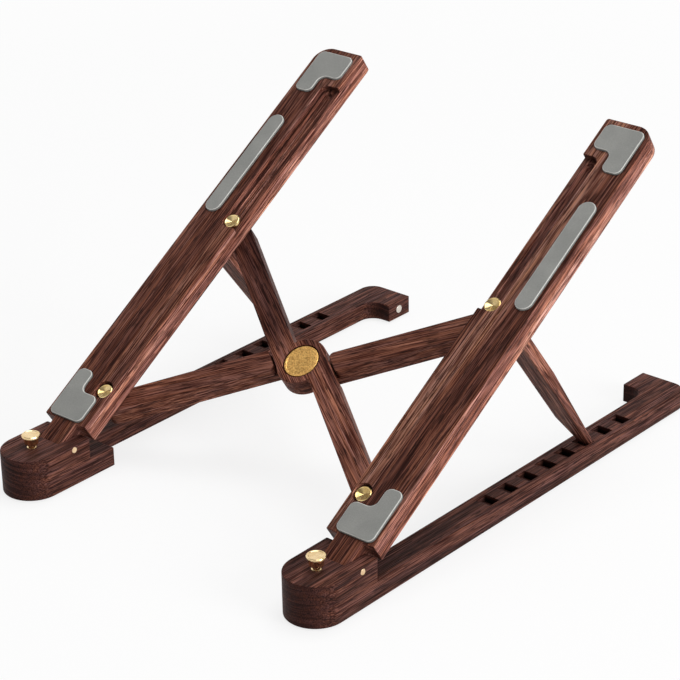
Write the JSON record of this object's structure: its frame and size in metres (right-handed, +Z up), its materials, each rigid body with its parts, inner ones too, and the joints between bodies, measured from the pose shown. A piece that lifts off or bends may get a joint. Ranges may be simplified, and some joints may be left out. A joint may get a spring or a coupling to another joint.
{
  "type": "laptop stand",
  "caption": "Folding wooden laptop stand: base bars, tilting rails joined by a scissor linkage, struts that stand in stepped pockets, soft pads and brass front stops.",
  "frame": {"origin": "on the desk, under the centre of the stand as it stands open", "axes": "+X to the right across the stand, +Y along the base bars from the round noses to the hooks, +Z up"},
  "size_m": [0.1856, 0.2504, 0.1404],
  "materials": {
    "walnut_base": "oiled, satin",
    "walnut_rail": "oiled, satin",
    "walnut_link": "oiled, satin",
    "brass": "turned, polished",
    "silicone": "matte",
    "nickel": "plated, satin"
  },
  "bodies": {
    "right_base": {"right_base": "walnut_base", "right_hinge_pin": "brass", "right_knob": "brass", "right_magnet": "nickel", "right_front_foot": "silicone", "right_back_foot": "silicone"},
    "right_rail": {"right_rail": "walnut_rail", "right_pivot_pin": "brass", "right_pivot_screw": "brass", "right_strut_pin": "brass", "right_lower_pad": "silicone", "right_middle_pad": "silicone", "right_upper_pad": "silicone"},
    "right_strut": {"right_strut": "walnut_link"},
    "left_base": {"left_base": "walnut_base", "left_hinge_pin": "brass", "left_knob": "brass", "left_magnet": "nickel", "left_front_foot": "silicone", "left_back_foot": "silicone"},
    "left_rail": {"left_rail": "walnut_rail", "left_pivot_pin": "brass", "left_pivot_screw": "brass", "left_strut_pin": "brass", "left_lower_pad": "silicone", "left_middle_pad": "silicone", "left_upper_pad": "silicone"},
    "left_strut": {"left_strut": "walnut_link"},
    "arm_a": {"arm_a": "walnut_link", "right_slide_pin": "brass", "right_slide_screw": "brass"},
    "arm_b": {"arm_b": "walnut_link", "left_slide_pin": "brass", "left_slide_screw": "brass", "hub_bolt": "brass", "hub_disc": "brass", "hub_cap": "brass"}
  },
  "joints": [
    {"name": "right_tilt", "type": "hinge", "parent": "right_base", "child": "right_rail", "pos_m": [0.07983, -0.09925, 0.0168], "axis": [1, 0, 0], "range_deg": [0, 57.71]},
    {"name": "scissor", "type": "hinge", "parent": "right_rail", "child": "arm_b", "pos_m": [0.07238, -0.06803, 0.02263], "axis": [0, 0.5343, -0.8453], "range_deg": [0, 52.12]},
    {"name": "hub_turn", "type": "hinge", "parent": "arm_b", "child": "arm_a", "pos_m": [0, -0.02692, 0.04861], "axis": [0, 0.5343, -0.8453], "range_deg": [-104.24, 0]},
    {"name": "left_pivot", "type": "hinge", "parent": "arm_a", "child": "left_rail", "pos_m": [-0.07238, -0.06803, 0.02263], "axis": [0, 0.5343, -0.8453], "range_deg": [0, 52.12]},
    {"name": "left_tilt", "type": "hinge", "parent": "left_rail", "child": "left_base", "pos_m": [-0.07983, -0.09925, 0.0168], "axis": [1, 0, 0], "range_deg": [-57.71, 0]},
    {"name": "right_strut_fold", "type": "hinge", "parent": "right_rail", "child": "right_strut", "pos_m": [0.08468, 0.00449, 0.07728], "axis": [1, 0, 0], "range_deg": [0, 85.05]},
    {"name": "left_strut_fold", "type": "hinge", "parent": "left_rail", "child": "left_strut", "pos_m": [-0.08468, 0.00449, 0.07728], "axis": [1, 0, 0], "range_deg": [0, 85.05]}
  ],
  "couplings": [
    {"joint": "hub_turn", "follows": "scissor", "ratio": -2},
    {"joint": "left_pivot", "follows": "scissor", "ratio": 1},
    {"joint": "left_tilt", "follows": "right_tilt", "ratio": -1}
  ]
}
